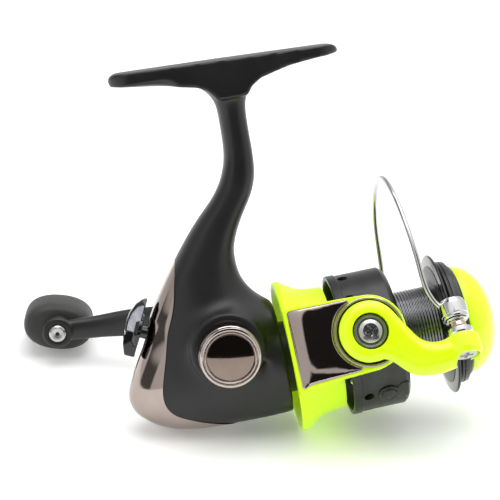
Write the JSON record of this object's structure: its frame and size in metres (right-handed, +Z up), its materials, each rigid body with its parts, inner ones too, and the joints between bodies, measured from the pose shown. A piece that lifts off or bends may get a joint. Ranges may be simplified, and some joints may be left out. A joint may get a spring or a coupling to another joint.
{
  "type": "spinning reel",
  "caption": "Front-drag spinning fishing reel with folding crank handle, spinning rotor with flip-over bail, sliding spool and rod foot.",
  "frame": {"origin": "the middle of the rod foot's seat face, mount foot_seat", "axes": "+X along the main shaft towards the spool, +Z up the stem towards the rod foot, +Y towards the crank handle"},
  "size_m": [0.1255, 0.1053, 0.1005],
  "materials": {
    "body_black": "satin black moulded plastic",
    "bronze_chrome": "gunmetal bronze plated",
    "neon_plastic": "bright yellow-green moulded plastic",
    "knob_rubber": "dark soft-touch rubber",
    "steel": "bright steel",
    "chrome_parts": "bright chrome",
    "brass_gear": "machined brass",
    "zinc_gear": "cast alloy",
    "spool_dark": "dark anodised, polished edges",
    "black_plastic": "gloss black plastic",
    "felt": "felt drag washers"
  },
  "bodies": {
    "reel_body": {"body_housing": "body_black", "side_cover": "body_black", "rear_cover": "bronze_chrome", "side_cover_screws": "steel", "drive_bearing_near": "steel", "drive_bearing_far": "steel", "pinion_bearing": "steel", "clutch_housing": "steel", "clutch_retainer": "steel", "clutch_rollers": "steel", "oscillation_axle": "steel"},
    "crank": {"drive_gear": "zinc_gear", "drive_shaft": "steel", "oscillation_pinion": "zinc_gear", "handle_cap": "bronze_chrome", "cap_disc": "bronze_chrome", "handle_hub": "body_black", "fold_pin": "steel"},
    "crank_arm": {"handle_arm": "body_black", "knob_axle": "steel"},
    "knob": {"handle_knob": "knob_rubber"},
    "oscillator": {"oscillation_gear": "zinc_gear"},
    "spool_shaft": {"main_shaft": "steel", "crosswind_block": "zinc_gear", "crosswind_screw": "steel", "spool_support": "brass_gear", "spool_shims": "steel", "click_pawl": "steel"},
    "spool": {"spool_body": "spool_dark", "spool_lip": "spool_dark", "line_clip": "black_plastic", "click_ring": "black_plastic", "drag_felts": "felt", "drag_discs": "steel", "drag_retainer": "steel", "drag_pressure_plate": "steel"},
    "drag_knob": {"drag_knob_base": "black_plastic", "drag_knob_cap": "neon_plastic", "drag_nut": "brass_gear", "drag_spring": "steel"},
    "rotor_unit": {"rotor": "neon_plastic", "rotor_nut": "brass_gear", "pinion_gear": "brass_gear", "clutch_sleeve": "steel", "arm_cover_near": "bronze_chrome", "arm_cover_far": "bronze_chrome", "arm_cover_pegs": "black_plastic", "bail_pivot_screws": "chrome_parts", "bail_springs": "steel"},
    "bail": {"bail_arm": "neon_plastic", "bail_holder": "neon_plastic", "bail_wire": "chrome_parts", "bail_cone": "chrome_parts", "roller_screw": "chrome_parts", "roller_bushing": "black_plastic"},
    "roller": {"line_roller": "chrome_parts"},
    "lever": {"anti_reverse_lever": "black_plastic"}
  },
  "joints": [
    {"name": "rotor_spin", "type": "hinge", "parent": "reel_body", "child": "rotor_unit", "pos_m": [0.01655, 0, -0.07923], "axis": [1, 0, 0], "continuous": true},
    {"name": "handle_turn", "type": "hinge", "parent": "reel_body", "child": "crank", "pos_m": [-0.01345, 0, -0.07136], "axis": [0, 1, 0], "continuous": true},
    {"name": "oscillation_turn", "type": "hinge", "parent": "reel_body", "child": "oscillator", "pos_m": [-0.02175, -0.006, -0.07509], "axis": [0, 1, 0], "continuous": true},
    {"name": "spool_slide", "type": "slide", "parent": "reel_body", "child": "spool_shaft", "axis": [1, 0, 0], "range_m": [-0.001, 0.007]},
    {"name": "spool_drag_spin", "type": "hinge", "parent": "spool_shaft", "child": "spool", "pos_m": [0.03155, 0, -0.07923], "axis": [1, 0, 0], "continuous": true},
    {"name": "drag_knob_turn", "type": "hinge", "parent": "spool_shaft", "child": "drag_knob", "pos_m": [0.04655, 0, -0.07923], "axis": [1, 0, 0], "range_deg": [-540, 180]},
    {"name": "bail_open", "type": "hinge", "parent": "rotor_unit", "child": "bail", "pos_m": [0.02135, 0, -0.07923], "axis": [0, 0.9455, -0.3256], "range_deg": [0, 110]},
    {"name": "line_roller_spin", "type": "hinge", "parent": "bail", "child": "roller", "pos_m": [0.04315, -0.02407, -0.07494], "axis": [0, 0.5739, 0.8189], "continuous": true},
    {"name": "handle_fold", "type": "hinge", "parent": "crank", "child": "crank_arm", "pos_m": [-0.01345, 0.033, -0.07136], "axis": [0.0262, 0, 0.9997], "range_deg": [-90, 0]},
    {"name": "knob_spin", "type": "hinge", "parent": "crank_arm", "child": "knob", "pos_m": [-0.05853, 0.06, -0.07017], "axis": [0, 1, 0], "continuous": true},
    {"name": "anti_reverse_switch", "type": "hinge", "parent": "reel_body", "child": "lever", "pos_m": [-0.03355, 0, -0.06502], "axis": [-0.896, 0, 0.444], "range_deg": [0, 40]}
  ],
  "couplings": [
    {"joint": "handle_turn", "follows": "rotor_spin", "ratio": -0.19355},
    {"joint": "oscillation_turn", "follows": "rotor_spin", "ratio": 0.12097}
  ]
}
